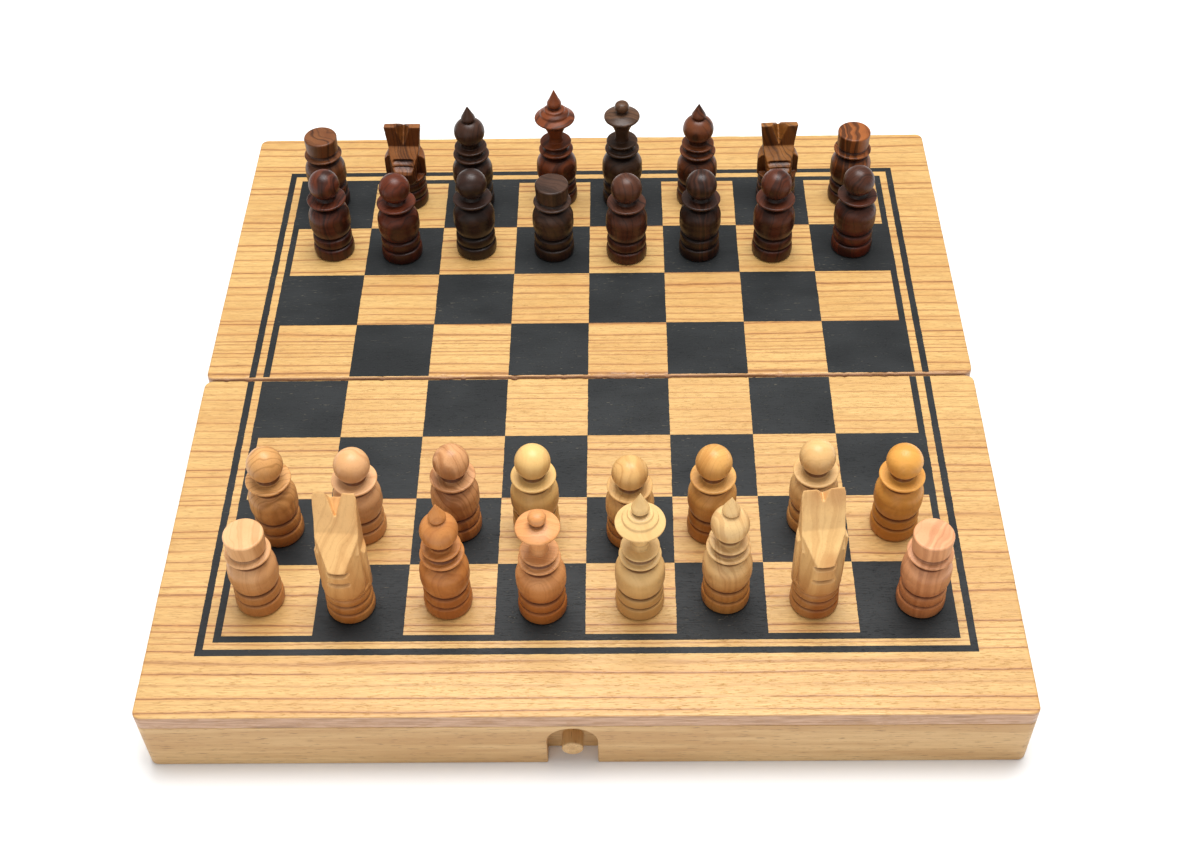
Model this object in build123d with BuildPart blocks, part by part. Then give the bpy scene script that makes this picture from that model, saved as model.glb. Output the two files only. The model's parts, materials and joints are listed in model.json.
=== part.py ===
from build123d import *

import os
from math import asin, cos, degrees, hypot, radians, sin, sqrt

# Folding wooden chess box, opened flat as a board, with a full set of small wooden men.
#
# Millimetres, +Z up. The origin is on the table, under the middle of the opened board. +X runs to the right
# along the ranks, and +Y runs from the light men (front) to the dark men (back). The box is two trays lying
# open side down and hinged along the X axis. The hinge knuckles stand proud of the rims, so the opened board
# rests on its two outer edges and on the knuckles, and each half slopes down a little from the seam.

# Playing field
SQUARE_ACROSS = 20.0
SQUARE_ALONG = 19.2
SQUARES = 8
LINE_WIDTH = 1.65
LINE_GAP = 1.85
INK_THICKNESS = 0.12
INK_PROUD = 0.04
INK_CLEARANCE = 0.02
SEAM_PRINT_GAP = 0.5

# One tray of the box
MARGIN_ACROSS = 16.0
MARGIN_ALONG = 20.8
PANEL_THICKNESS = 4.0
RAIL_HEIGHT = 15.0
RAIL_THICKNESS = 8.0
CORNER_RADIUS = 2.0
PANEL_EASE = 0.4
RIM_EASE = 0.5
SEAM_GAP = 0.1
RIM_RISE = 0.1

# Finger notch and peg in each outer rail
NOTCH_RADIUS = 5.5
NOTCH_DEPTH = 4.0
NOTCH_ABOVE = 1.0
NOTCH_SHIFT = 2.9
PEG_RADIUS = 2.35
PEG_HEIGHT = 5.2
PEG_SET_BACK = 0.3
PEG_EASE = 0.35

# Butt hinges
HINGE_SHIFT = 62.0
KNUCKLE_RADIUS = 1.2
KNUCKLE_LENGTH = 7.0
KNUCKLE_GAP = 0.15
PIN_RADIUS = 0.5
PIN_CLEARANCE = 0.06
LEAF_DEPTH = 6.6
LEAF_THICKNESS = 0.8
LEAF_STAND_OFF = 1.5
MORTISE_CLEARANCE = 0.25
SCREW_SHANK_RADIUS = 0.7
SCREW_HEAD_RADIUS = 1.3
SCREW_LENGTH = 7.0
SCREW_SLOT_WIDTH = 0.35
SCREW_SLOT_DEPTH = 0.3

# Men
MAN_CLEARANCE = 0.03
KNIGHT_FOOT_HEIGHT = 8.6
KNIGHT_WIDTH = 9.4
KNIGHT_NOSE_WIDTH = 3.4
KNIGHT_BLANK_RADIUS = 5.7
NOTCH_TOP_WIDTH = 4.0
EAR_THICKNESS = 0.6
CUT_REACH = 60

# Worked-out sizes
BOARD_WIDTH = SQUARES * SQUARE_ACROSS + 2 * MARGIN_ACROSS
FIELD_DEPTH = SQUARES / 2 * SQUARE_ALONG
HALF_DEPTH = FIELD_DEPTH + MARGIN_ALONG
RIM = RIM_RISE
PANEL_UNDERSIDE = RIM + RAIL_HEIGHT
PANEL_TOP = PANEL_UNDERSIDE + PANEL_THICKNESS
TILT = degrees(asin((KNUCKLE_RADIUS + RIM_RISE) / HALF_DEPTH))
RAIL_TOP_LENGTH = HALF_DEPTH - SEAM_GAP - 2 * RAIL_THICKNESS
HINGE_LENGTH = 3 * KNUCKLE_LENGTH + 2 * KNUCKLE_GAP
SEAT_HEIGHT = PANEL_TOP + INK_PROUD + MAN_CLEARANCE

# Each half has its own frame: local X along the hinge axis, local Y away from the seam, local Z up.
SLOPE_ALONG = cos(radians(TILT))
SLOPE_DOWN = sin(radians(TILT))
HALVES = {
    "back": Plane(origin=(0, 0, KNUCKLE_RADIUS), x_dir=(1, 0, 0), z_dir=(0, SLOPE_DOWN, SLOPE_ALONG)),
    "front": Plane(origin=(0, 0, KNUCKLE_RADIUS), x_dir=(-1, 0, 0), z_dir=(0, -SLOPE_DOWN, SLOPE_ALONG)),
}
# Local X of the front half runs the other way, and the two notches meet when the box is closed.
NOTCH_CENTRE = {"back": -NOTCH_SHIFT, "front": NOTCH_SHIFT}
FILES = "abcdefgh"


def plane_at(plane, x, y, z):
    """The given plane, moved to a point given in its own coordinates."""
    return Plane(origin=plane.from_local_coords((x, y, z)), x_dir=plane.x_dir, z_dir=plane.z_dir)


def save(part, name):
    part.label = name
    export_step(part, f"parts/{name}.step")
    return part


# --- Board -----------------------------------------------------------------------------------------------


def print_outlines():
    """Black squares and the two border lines of one half, as an open-ended U round the field."""
    x_edge = SQUARES / 2 * SQUARE_ACROSS
    for column in range(SQUARES):
        for row in range(SQUARES // 2):
            if (column + row) % 2 == 1:
                start = max(row * SQUARE_ALONG + INK_CLEARANCE, SEAM_PRINT_GAP)
                end = (row + 1) * SQUARE_ALONG - INK_CLEARANCE
                centre_x = -x_edge + (column + 0.5) * SQUARE_ACROSS
                with Locations((centre_x, (start + end) / 2)):
                    Rectangle(SQUARE_ACROSS - 2 * INK_CLEARANCE, end - start)
    for offset_out in (0, LINE_WIDTH + LINE_GAP):
        inner_x = x_edge + offset_out
        inner_y = FIELD_DEPTH + offset_out
        with Locations((0, inner_y + LINE_WIDTH / 2)):
            Rectangle(2 * (inner_x + LINE_WIDTH), LINE_WIDTH)
        side_length = inner_y + LINE_WIDTH - SEAM_PRINT_GAP
        for side in (-1, 1):
            with Locations((side * (inner_x + LINE_WIDTH / 2), SEAM_PRINT_GAP + side_length / 2)):
                Rectangle(LINE_WIDTH, side_length)


def make_panel(half):
    """Top board of a tray, with a shallow pocket where the ink lies."""
    plane = HALVES[half]
    depth = HALF_DEPTH - SEAM_GAP
    with BuildPart() as panel:
        with BuildSketch(plane.offset(PANEL_UNDERSIDE)):
            with Locations((0, SEAM_GAP + depth / 2)):
                RectangleRounded(BOARD_WIDTH, depth, CORNER_RADIUS)
        extrude(amount=PANEL_THICKNESS)
        top_face = panel.faces().sort_by(Axis(plane.origin, plane.z_dir))[-1]
        fillet(top_face.edges(), PANEL_EASE)
        with BuildSketch(plane.offset(PANEL_TOP - INK_THICKNESS + INK_PROUD)):
            print_outlines()
        extrude(amount=INK_THICKNESS, mode=Mode.SUBTRACT)
    return panel.part


def make_print(half):
    with BuildPart() as ink:
        with BuildSketch(HALVES[half].offset(PANEL_TOP - INK_THICKNESS + INK_PROUD)):
            print_outlines()
        extrude(amount=INK_THICKNESS)
    return ink.part


def corner_outline(depth):
    """Plan of the whole tray, to which the rails are trimmed, so its corners are rounded as one."""
    with Locations((0, SEAM_GAP + depth / 2)):
        RectangleRounded(BOARD_WIDTH, depth, CORNER_RADIUS)


def ease_rim(rail, plane):
    """Rounds the outer lower edges, where hands and the table wear the rim."""
    rim_face = rail.faces().filter_by(plane).sort_by(Axis(plane.origin, plane.z_dir))[0]
    rim_edges = rim_face.edges()
    fillet(rim_edges, RIM_EASE)


def make_outer_rail(half):
    """Rail on the free side of a tray, with the finger notch and the hole for the peg."""
    plane = HALVES[half]
    depth = HALF_DEPTH - SEAM_GAP
    notch_x = NOTCH_CENTRE[half]
    notch_height = RAIL_HEIGHT - NOTCH_ABOVE - NOTCH_RADIUS
    face_plane = Plane(origin=plane.from_local_coords((notch_x, HALF_DEPTH, RIM)), x_dir=-plane.x_dir,
                       z_dir=plane.y_dir)
    with BuildPart() as rail:
        with BuildSketch(plane.offset(RIM)):
            corner_outline(depth)
            with Locations((0, (HALF_DEPTH - RAIL_THICKNESS) / 2)):
                Rectangle(BOARD_WIDTH, HALF_DEPTH - RAIL_THICKNESS, mode=Mode.SUBTRACT)
        extrude(amount=RAIL_HEIGHT)
        ease_rim(rail, plane)
        with BuildSketch(face_plane):
            with Locations((0, notch_height)):
                Circle(NOTCH_RADIUS)
            with Locations((0, notch_height / 2 - RIM_EASE)):
                Rectangle(2 * NOTCH_RADIUS, notch_height + 2 * RIM_EASE)
        extrude(amount=-NOTCH_DEPTH, mode=Mode.SUBTRACT)
        with BuildSketch(face_plane):
            with Locations((0, PEG_HEIGHT)):
                Circle(PEG_RADIUS)
        extrude(amount=-RAIL_THICKNESS, mode=Mode.SUBTRACT)
    return rail.part


def make_peg(half):
    """Dowel glued through the outer rail, ending just behind the rail's face."""
    plane = HALVES[half]
    start = plane.from_local_coords((NOTCH_CENTRE[half], HALF_DEPTH - RAIL_THICKNESS, RIM + PEG_HEIGHT))
    with BuildPart() as peg:
        with BuildSketch(Plane(origin=start, x_dir=-plane.x_dir, z_dir=plane.y_dir)):
            Circle(PEG_RADIUS)
        extrude(amount=RAIL_THICKNESS - PEG_SET_BACK)
        outer_end = peg.faces().sort_by(Axis(plane.origin, plane.y_dir))[-1]
        fillet(outer_end.edges(), PEG_EASE)
    return peg.part


def make_side_rail(half, side):
    """Short rail butted between the outer rail and the seam rail; side is -1 or 1 in local X."""
    plane = HALVES[half]
    centre_x = side * (BOARD_WIDTH - RAIL_THICKNESS) / 2
    centre_y = SEAM_GAP + RAIL_THICKNESS + RAIL_TOP_LENGTH / 2
    with BuildPart() as rail:
        with BuildSketch(plane.offset(RIM)):
            with Locations((centre_x, centre_y)):
                Rectangle(RAIL_THICKNESS, RAIL_TOP_LENGTH)
        extrude(amount=RAIL_HEIGHT)
        rim_face = rail.faces().filter_by(plane).sort_by(Axis(plane.origin, plane.z_dir))[0]
        fillet(rim_face.edges().filter_by(Axis(plane.origin, plane.y_dir)), RIM_EASE)
    return rail.part


def screw_places():
    """Screw centres of one leaf along X, measured from the hinge's middle."""
    return (-KNUCKLE_LENGTH, KNUCKLE_LENGTH)


def screw_distance():
    """Distance of the screws from the hinge axis."""
    return (LEAF_STAND_OFF + LEAF_DEPTH) / 2


def make_seam_rail(half):
    """Rail along the seam, mortised for the leaves and knuckles and drilled for the screws."""
    plane = HALVES[half]
    depth = HALF_DEPTH - SEAM_GAP
    with BuildPart() as rail:
        with BuildSketch(plane.offset(RIM)):
            corner_outline(depth)
            with Locations((0, (HALF_DEPTH + RAIL_THICKNESS + SEAM_GAP) / 2)):
                Rectangle(BOARD_WIDTH, HALF_DEPTH - RAIL_THICKNESS - SEAM_GAP, mode=Mode.SUBTRACT)
        extrude(amount=RAIL_HEIGHT)
        ease_rim(rail, plane)
        for hinge_x in (-HINGE_SHIFT, HINGE_SHIFT):
            hinge = plane_at(plane, hinge_x, 0, 0)
            with BuildSketch(hinge):
                with Locations((0, LEAF_DEPTH / 2)):
                    Rectangle(HINGE_LENGTH + 2 * MORTISE_CLEARANCE, LEAF_DEPTH + MORTISE_CLEARANCE * 2)
            extrude(amount=RIM + LEAF_THICKNESS, mode=Mode.SUBTRACT)
            with BuildSketch(hinge):
                with Locations((0, LEAF_STAND_OFF / 2)):
                    Rectangle(HINGE_LENGTH + 2 * MORTISE_CLEARANCE, LEAF_STAND_OFF + 2 * MORTISE_CLEARANCE)
            extrude(amount=KNUCKLE_RADIUS + MORTISE_CLEARANCE, mode=Mode.SUBTRACT)
            with BuildSketch(hinge):
                for screw_x in screw_places():
                    with Locations((screw_x, screw_distance())):
                        Circle(SCREW_SHANK_RADIUS)
            extrude(amount=RIM + SCREW_LENGTH, mode=Mode.SUBTRACT)
    return rail.part


# --- Hinges ----------------------------------------------------------------------------------------------


def make_leaf(half, hinge_x, knuckle_places, bore_radius):
    """Flat leaf in its mortise, with its knuckles rolled round the pin."""
    hinge = plane_at(HALVES[half], hinge_x, 0, 0)
    leaf_middle = (LEAF_STAND_OFF + LEAF_DEPTH) / 2
    with BuildPart() as leaf:
        with BuildSketch(hinge.offset(RIM)):
            with Locations((0, leaf_middle)):
                Rectangle(HINGE_LENGTH, LEAF_DEPTH - LEAF_STAND_OFF)
            for knuckle_x in knuckle_places:
                with Locations((knuckle_x, LEAF_STAND_OFF / 2)):
                    Rectangle(KNUCKLE_LENGTH, LEAF_STAND_OFF)
        extrude(amount=LEAF_THICKNESS)
        for knuckle_x in knuckle_places:
            knuckle_end = plane_at(hinge, knuckle_x - KNUCKLE_LENGTH / 2, 0, 0)
            knuckle_plane = Plane(origin=knuckle_end.origin, x_dir=hinge.y_dir, z_dir=hinge.x_dir)
            with BuildSketch(knuckle_plane):
                Circle(KNUCKLE_RADIUS)
            extrude(amount=KNUCKLE_LENGTH)
        bore_start = plane_at(hinge, -HINGE_LENGTH / 2, 0, 0)
        with BuildSketch(Plane(origin=bore_start.origin, x_dir=hinge.y_dir, z_dir=hinge.x_dir)):
            Circle(bore_radius)
        extrude(amount=HINGE_LENGTH, mode=Mode.SUBTRACT)
        for screw_x in screw_places():
            screw_plane = plane_at(hinge, screw_x, screw_distance(), RIM)
            with BuildSketch(screw_plane):
                Circle(SCREW_HEAD_RADIUS)
            with BuildSketch(screw_plane.offset(LEAF_THICKNESS)):
                Circle(SCREW_SHANK_RADIUS)
            loft(mode=Mode.SUBTRACT)
    return leaf.part


def make_pin(hinge_x):
    plane = plane_at(HALVES["back"], hinge_x - HINGE_LENGTH / 2, 0, 0)
    with BuildPart() as pin:
        with BuildSketch(Plane(origin=plane.origin, x_dir=plane.y_dir, z_dir=plane.x_dir)):
            Circle(PIN_RADIUS)
        extrude(amount=HINGE_LENGTH)
    return pin.part


def make_screws(half):
    """Countersunk screws of both leaves on one half, driven up into the seam rail."""
    with BuildPart() as screws:
        for hinge_x in (-HINGE_SHIFT, HINGE_SHIFT):
            for screw_x in screw_places():
                head = plane_at(HALVES[half], hinge_x + screw_x, screw_distance(), RIM)
                with BuildSketch(head):
                    Circle(SCREW_HEAD_RADIUS)
                with BuildSketch(head.offset(LEAF_THICKNESS)):
                    Circle(SCREW_SHANK_RADIUS)
                loft()
                with BuildSketch(head.offset(LEAF_THICKNESS)):
                    Circle(SCREW_SHANK_RADIUS)
                extrude(amount=SCREW_LENGTH - LEAF_THICKNESS)
                with BuildSketch(head):
                    Rectangle(2 * SCREW_HEAD_RADIUS, SCREW_SLOT_WIDTH)
                extrude(amount=SCREW_SLOT_DEPTH, mode=Mode.SUBTRACT)
    return screws.part


# --- Men -------------------------------------------------------------------------------------------------
#
# A turned man is one half-outline, spun round the axis of its seat. An outline is a list of strokes, each
# (radius, height, rise) of its end: a straight stroke has no rise, and an arc swells outward by its rise.

FOOT = [
    (5.0, 0, 0),
    (5.3, 0.35, 0),
    (5.25, 3.3, 0.15),
    (4.4, 3.8, 0),
    (5.1, 4.2, 0),
    (5.05, 6.5, 0.15),
    (4.1, 7.1, 0),
    (4.85, 7.5, 0),
    (5.4, 11.6, 0.3),
    (2.6, 16.2, 1.0),
]


def collar(neck_radius, low, radius, thickness, top_radius):
    """Thin flared disc, hollowed on top, from the neck below it to the member above it."""
    edge = low + 0.5 + thickness
    return [
        (neck_radius, low - 0.3, 0),
        (radius - 0.25, low + 0.5, 0),
        (radius - 0.15, edge, 0.25),
        (top_radius, edge + 0.4, 0),
    ]


def ball(start_radius, centre, radius, end_radius):
    """Ball round the axis, from where it leaves the member below to where the next one starts."""
    start = centre - sqrt(radius**2 - start_radius**2)
    end = centre + sqrt(radius**2 - end_radius**2)
    half_chord = hypot(start_radius - end_radius, end - start) / 2
    return [(start_radius, start, 0), (end_radius, end, radius - sqrt(radius**2 - half_chord**2))]


CROWNED_STEM = [
    *FOOT,
    *collar(2.6, 16.8, 4.6, 0.7, 3.6),
    (3.3, 18.9, 0),
    *collar(3.3, 19.5, 4.2, 0.6, 2.0),
    (1.8, 22.2, 0),
]

OUTLINES = {
    "pawn": [*FOOT, *collar(2.6, 16.9, 4.95, 0.7, 2.9), *ball(2.6, 22.4, 4.15, 0.6), (0, 26.5, 0)],
    "rook": [
        *FOOT,
        *collar(2.6, 16.7, 5.0, 0.6, 3.9),
        (3.6, 18.6, 0),
        (4.2, 19.1, 0),
        (4.4, 23.3, 0),
        (4.15, 23.6, 0),
        (0, 23.6, 0),
    ],
    "bishop": [
        *FOOT,
        *collar(2.6, 16.9, 4.85, 0.7, 3.7),
        (3.5, 18.9, 0),
        *collar(3.5, 19.6, 4.35, 0.6, 2.6),
        *ball(2.4, 25.6, 4.15, 1.35),
        (1.95, 29.95, 0),
        (1.6, 31.2, 0.1),
        (0, 34.4, 0),
    ],
    "queen": [
        *CROWNED_STEM,
        (4.6, 27.9, -0.7),
        (4.55, 28.7, 0.25),
        (1.4, 29.7, 0.1),
        (1.4, 30.4, 0),
        (1.9, 30.9, 0),
        (1.75, 32.3, 0.12),
        (0.9, 32.9, 0.1),
        (0, 33.0, 0),
    ],
    "king": [
        *CROWNED_STEM,
        (5.15, 28.2, -0.7),
        (5.1, 29.0, 0.3),
        (3.9, 29.9, 0),
        (3.75, 30.5, 0),
        (2.8, 31.2, 0),
        (2.65, 31.7, 0),
        (1.35, 32.1, 0),
        (1.35, 32.5, 0),
        (1.95, 33.0, 0),
        (1.5, 34.6, 0.15),
        (0, 38.2, 0),
    ],
}

KNIGHT_FOOT = [
    (5.0, 0, 0),
    (5.3, 0.35, 0),
    (5.25, 2.7, 0.12),
    (4.5, 3.1, 0),
    (5.2, 3.5, 0),
    (5.1, 5.4, 0.12),
    (4.4, 5.85, 0),
    (5.1, 6.25, 0),
    (5.0, 7.9, 0.12),
    (4.4, 8.3, 0),
    (4.9, KNIGHT_FOOT_HEIGHT + 0.3, 0),
    (0, KNIGHT_FOOT_HEIGHT + 0.3, 0),
]


def spin(strokes, seat, stretch):
    """Solid of revolution round the seat's axis, made a little taller or shorter than its pattern."""
    with BuildPart() as turned:
        with BuildSketch(Plane(origin=seat.origin, x_dir=seat.x_dir, z_dir=-seat.y_dir)):
            with BuildLine():
                here = (0, 0)
                for radius, height, rise in strokes:
                    there = (radius, height * stretch)
                    if rise:
                        SagittaArc(here, there, -rise)
                    else:
                        Line(here, there)
                    here = there
                if here != (0, 0):
                    Line(here, (0, 0))
            make_face()
        revolve(axis=Axis(seat.origin, seat.z_dir))
    return turned.part


def cheek_plane(seat, side, brow, nose, jaw):
    """Plane through the brow, nose and jaw points of one side, facing out of the head."""
    corners = [seat.from_local_coords((side * x, y, z)) for x, y, z in (brow, nose, jaw)]
    along = corners[1] - corners[0]
    outward = along.cross(corners[2] - corners[0]) * side
    return Plane(origin=corners[1], x_dir=along, z_dir=outward)


def make_knight(seat, form):
    """Carved horse's head on a turned foot; the seat's -Y is where the horse looks.

    The form gives the height, how far back the ear tips are, and the heights of the brow (the crease under
    the ears), of the nose (the end of the forehead) and of the notch's bottom between the ears.
    """
    height, ear_back, brow_height, nose_height, notch_bottom = form
    low = KNIGHT_FOOT_HEIGHT
    brow = (KNIGHT_WIDTH / 2, -0.1, brow_height)
    nose = (KNIGHT_NOSE_WIDTH / 2, -5.6, nose_height)
    jaw = (KNIGHT_WIDTH / 2, -2.6, low + 3.5)
    ear_tip = (ear_back + EAR_THICKNESS, height)
    crest = (4.9, (height + low) / 2)
    side_plane = Plane(origin=seat.origin, x_dir=seat.y_dir, z_dir=seat.x_dir)
    front_plane = Plane(origin=seat.origin, x_dir=seat.x_dir, z_dir=-seat.y_dir)
    with BuildPart() as knight:
        with BuildSketch(side_plane):
            with BuildLine():
                Polyline(
                    (4.6, low),
                    (-4.4, low),
                    (-5.6, low + 2.0),
                    (nose[1], nose[2]),
                    (brow[1], brow[2]),
                    (ear_back, height),
                    ear_tip,
                )
                SagittaArc(ear_tip, crest, -0.3)
                SagittaArc(crest, (4.6, low), -0.8)
            make_face()
        extrude(amount=KNIGHT_WIDTH / 2, both=True)
        with BuildSketch(seat):
            Circle(KNIGHT_BLANK_RADIUS)
        extrude(amount=height + 1, mode=Mode.INTERSECT)
        for side in (-1, 1):
            with BuildSketch(cheek_plane(seat, side, brow, nose, jaw)):
                Rectangle(CUT_REACH, CUT_REACH)
            extrude(amount=CUT_REACH, mode=Mode.SUBTRACT)
        with BuildSketch(front_plane):
            with BuildLine():
                Polyline(
                    (-NOTCH_TOP_WIDTH / 2, height),
                    (-NOTCH_TOP_WIDTH / 2, height + 1),
                    (NOTCH_TOP_WIDTH / 2, height + 1),
                    (NOTCH_TOP_WIDTH / 2, height),
                    (0, notch_bottom),
                    close=True,
                )
            make_face()
        extrude(amount=CUT_REACH, both=True, mode=Mode.SUBTRACT)
        add(spin(KNIGHT_FOOT, seat, 1))
    return knight.part


# The men stand as a hand has put them down: how far to the right and towards the dark side of the middle of
# the square, and how tall against the pattern. A knight has the turn of its head and its form instead.
MEN = {
    "light": {
        "home": [
            ("rook", -2.5, 0.5, 1.0),
            ("knight", -2.0, -1.5, (4, (36.4, 4.0, 26.2, 19.2, 29.6))),
            ("bishop", -0.5, -0.5, 1.0),
            ("queen", 0.5, -2.0, 1.0),
            ("king", 2.0, -1.0, 1.0),
            ("bishop", 1.0, 0.5, 1.01),
            ("knight", 0.5, -1.0, (-6, (35.8, 4.0, 25.8, 19.6, 31.0))),
            ("rook", 4.0, -1.0, 1.01),
        ],
        "pawn_rank": [
            ("pawn", -0.5, 0.5, 1.05),
            ("pawn", -1.5, 1.0, 1.0),
            ("pawn", 0.5, 1.5, 1.02),
            ("pawn", -1.5, 1.5, 1.01),
            ("pawn", 0.0, -1.0, 0.96),
            ("pawn", -1.5, 0.5, 1.03),
            ("pawn", 1.5, 2.5, 1.0),
            ("pawn", 0.5, 1.0, 1.0),
        ],
    },
    "dark": {
        "home": [
            ("rook", -2.5, 2.5, 0.94),
            ("knight", -0.5, 3.0, (2, (24.0, 0.9, 17.9, 12.4, 18.4))),
            ("bishop", -2.0, 1.5, 0.94),
            ("king", 1.0, 3.5, 0.94),
            ("queen", -1.0, 2.5, 0.98),
            ("bishop", -0.5, 2.5, 0.92),
            ("knight", 1.5, 2.5, (-2, (23.6, 0.9, 17.3, 12.4, 17.8))),
            ("rook", 1.5, 2.5, 0.94),
        ],
        "pawn_rank": [
            ("pawn", 1.0, 1.0, 0.99),
            ("pawn", -0.5, -0.5, 0.98),
            ("pawn", -0.5, 1.0, 0.98),
            ("rook", 0.5, 0.0, 0.96),
            ("pawn", 0.0, -1.5, 0.98),
            ("pawn", -0.5, -0.5, 0.99),
            ("pawn", -1.0, -1.0, 1.0),
            ("pawn", 0.5, 0.5, 0.99),
        ],
    },
}
RANKS_FROM_SEAM = {"home": 3.5, "pawn_rank": 2.5}
HALF_OF = {"light": "front", "dark": "back"}
# Direction of the dark side, seen from the seam of each half
TOWARDS_DARK = {"light": -1, "dark": 1}


def make_seat(colour, rank, column, right, away):
    """Plane under a man, parallel to its half of the board, with +X to the right as on the whole board."""
    plane = HALVES[HALF_OF[colour]]
    direction = TOWARDS_DARK[colour]
    across = direction * ((column - (SQUARES - 1) / 2) * SQUARE_ACROSS + right)
    along = RANKS_FROM_SEAM[rank] * SQUARE_ALONG + direction * away
    origin = plane.from_local_coords((across, along, SEAT_HEIGHT))
    return Plane(origin=origin, x_dir=(1, 0, 0), z_dir=plane.z_dir)


def turned_seat(seat, turn):
    """The seat turned to the right by the given degrees, in its own plane."""
    ahead = seat.x_dir * cos(radians(turn)) - seat.y_dir * sin(radians(turn))
    return Plane(origin=seat.origin, x_dir=ahead, z_dir=seat.z_dir)


def make_man(kind, seat, form):
    if kind == "knight":
        turn, shape = form
        return make_knight(turned_seat(seat, turn), shape)
    return spin(OUTLINES[kind], seat, form)


def build_men():
    for colour, ranks in MEN.items():
        for rank, men in ranks.items():
            for column, (kind, right, away, form) in enumerate(men):
                man = make_man(kind, make_seat(colour, rank, column, right, away), form)
                # The dark rook among the pawns stands in for a lost one, so its name says where it stands.
                place = "_in_pawn_rank" if rank == "pawn_rank" and kind != "pawn" else ""
                save(man, f"{colour}_{kind}_{FILES[column]}{place}")


def build_board():
    for half in HALVES:
        save(make_panel(half), f"{half}_playing_panel")
        save(make_print(half), f"{half}_printed_squares")
        save(make_outer_rail(half), f"{half}_outer_rail")
        save(make_seam_rail(half), f"{half}_seam_rail")
        for side, side_name in ((-1, "left"), (1, "right")):
            direction = 1 if half == "back" else -1
            save(make_side_rail(half, side * direction), f"{half}_{side_name}_rail")
        save(make_peg(half), f"{half}_peg")
        save(make_screws(half), f"{half}_hinge_screws")


def build_hinges():
    outer_knuckles = (-KNUCKLE_LENGTH - KNUCKLE_GAP, KNUCKLE_LENGTH + KNUCKLE_GAP)
    for side, side_name in ((-1, "left"), (1, "right")):
        hinge_x = side * HINGE_SHIFT
        save(make_leaf("back", hinge_x, outer_knuckles, PIN_RADIUS), f"{side_name}_hinge_back_leaf")
        save(make_leaf("front", -hinge_x, (0,), PIN_RADIUS + PIN_CLEARANCE), f"{side_name}_hinge_front_leaf")
        save(make_pin(hinge_x), f"{side_name}_hinge_pin")


os.makedirs("parts", exist_ok=True)
build_board()
build_hinges()
build_men()
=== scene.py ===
"""Small folding chess box, opened flat as a board, with its men.

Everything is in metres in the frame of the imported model; the sizes written here are in millimetres and
pass through MM. The board lies on the floor, +X to the right, +Y from the light men to the dark men.
"""

import json
from math import atan2, cos, hypot, pi, radians, sin, sqrt

import bmesh
import bpy
import numpy as np
from mathutils import Euler, Matrix, Vector, noise


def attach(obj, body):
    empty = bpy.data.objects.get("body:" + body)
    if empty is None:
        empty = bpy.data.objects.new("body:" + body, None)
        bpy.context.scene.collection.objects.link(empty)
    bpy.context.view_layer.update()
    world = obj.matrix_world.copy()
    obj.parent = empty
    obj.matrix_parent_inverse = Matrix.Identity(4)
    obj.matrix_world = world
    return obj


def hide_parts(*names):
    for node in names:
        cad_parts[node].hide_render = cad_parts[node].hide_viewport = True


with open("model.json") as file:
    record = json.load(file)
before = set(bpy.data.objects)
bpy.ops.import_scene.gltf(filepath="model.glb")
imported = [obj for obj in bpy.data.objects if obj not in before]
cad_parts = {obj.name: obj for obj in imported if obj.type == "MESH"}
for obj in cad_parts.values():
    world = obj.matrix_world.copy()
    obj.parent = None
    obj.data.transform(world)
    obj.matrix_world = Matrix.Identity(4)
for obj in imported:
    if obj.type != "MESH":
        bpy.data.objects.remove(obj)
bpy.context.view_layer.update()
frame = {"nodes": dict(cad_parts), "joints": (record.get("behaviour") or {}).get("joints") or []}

MM = 0.001

# Camera and floor
CAMERA_AT = (8.2, -281.3, 313.3)
CAMERA_TURN = (42.07, 0.86, 0.17)
CAMERA_LENS = 48.7
FLOOR_SIZE = 6000

# Board
SQUARE_ACROSS = 20.0
SQUARE_ALONG = 19.2
SQUARES = 8
LINE_WIDTH = 1.65
LINE_GAP = 1.85
INK_PROUD = 0.04
INK_SUNK = 0.05
SEAM_PRINT_GAP = 0.5
CORNER_RADIUS = 2.0
RAIL_HEIGHT = 15.0
RAIL_EASE = 0.3
NOTCH_RADIUS = 5.5
NOTCH_DEPTH = 4.0
NOTCH_ROOF = 1.0
HALVES = {"back": 1, "front": -1}
HALF_OF = {"light": "front", "dark": "back"}

# Men
TURN_STEPS = 96
KNIGHT_VOXEL = 0.2
HOLLOW_REACH = 1.7
CUT_HALF = 0.7
FOOT_TOP = 8.7


# --- Camera, floor and light ------------------------------------------------------------------------------


def make_camera():
    data = bpy.data.cameras.new("camera")
    data.lens = CAMERA_LENS
    data.sensor_width = 36
    data.clip_start = 0.01
    data.clip_end = 50
    camera = bpy.data.objects.new("camera", data)
    camera.location = Vector(CAMERA_AT) * MM
    camera.rotation_euler = Euler([radians(turn) for turn in CAMERA_TURN])
    bpy.context.collection.objects.link(camera)
    bpy.context.scene.camera = camera


def make_floor():
    half = FLOOR_SIZE * MM / 2
    mesh = bpy.data.meshes.new("floor")
    mesh.from_pydata([(-half, -half, 0), (half, -half, 0), (half, half, 0), (-half, half, 0)], [], [(0, 1, 2, 3)])
    floor = bpy.data.objects.new("floor", mesh)
    bpy.context.collection.objects.link(floor)
    material = bpy.data.materials.new("floor_white")
    material.use_nodes = True
    shader = material.node_tree.nodes["Principled BSDF"]
    shader.inputs["Base Color"].default_value = (0.94, 0.94, 0.94, 1)
    shader.inputs["Roughness"].default_value = 0.9
    mesh.materials.append(material)


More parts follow.
